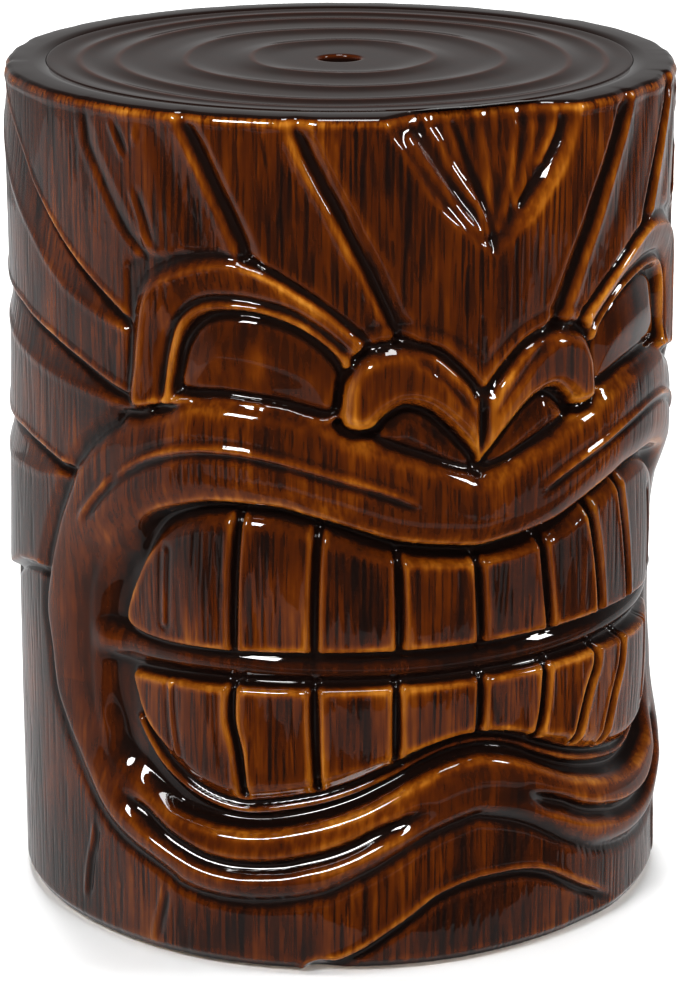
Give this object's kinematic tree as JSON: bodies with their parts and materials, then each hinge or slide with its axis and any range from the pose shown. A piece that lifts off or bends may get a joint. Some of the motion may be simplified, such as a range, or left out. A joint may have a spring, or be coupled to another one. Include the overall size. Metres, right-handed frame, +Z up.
{
  "type": "ceramic tiki stool",
  "caption": "Drum-shaped glazed ceramic garden stool carved as a grinning tiki mask, with a rippled seat, a finger hole and an open base.",
  "frame": {"origin": "on the floor, under the middle of the stool", "axes": "+Z up, the carved face looks along -Y, +X to the right of someone who faces it"},
  "size_m": [0.3652, 0.3681, 0.457],
  "materials": {
    "wall_glaze": "glossy brown glaze, nearly black in the carving and amber on the edges",
    "seat_glaze": "glossy dark brown glaze",
    "bare_stoneware": "matt unglazed stoneware",
    "pad_rubber": "matt black rubber"
  },
  "bodies": {
    "root": {"carved_wall": "wall_glaze", "seat_disc": "seat_glaze", "foot_ring": "bare_stoneware", "pad_1": "pad_rubber", "pad_2": "pad_rubber", "pad_3": "pad_rubber", "pad_4": "pad_rubber"}
  },
  "joints": []
}
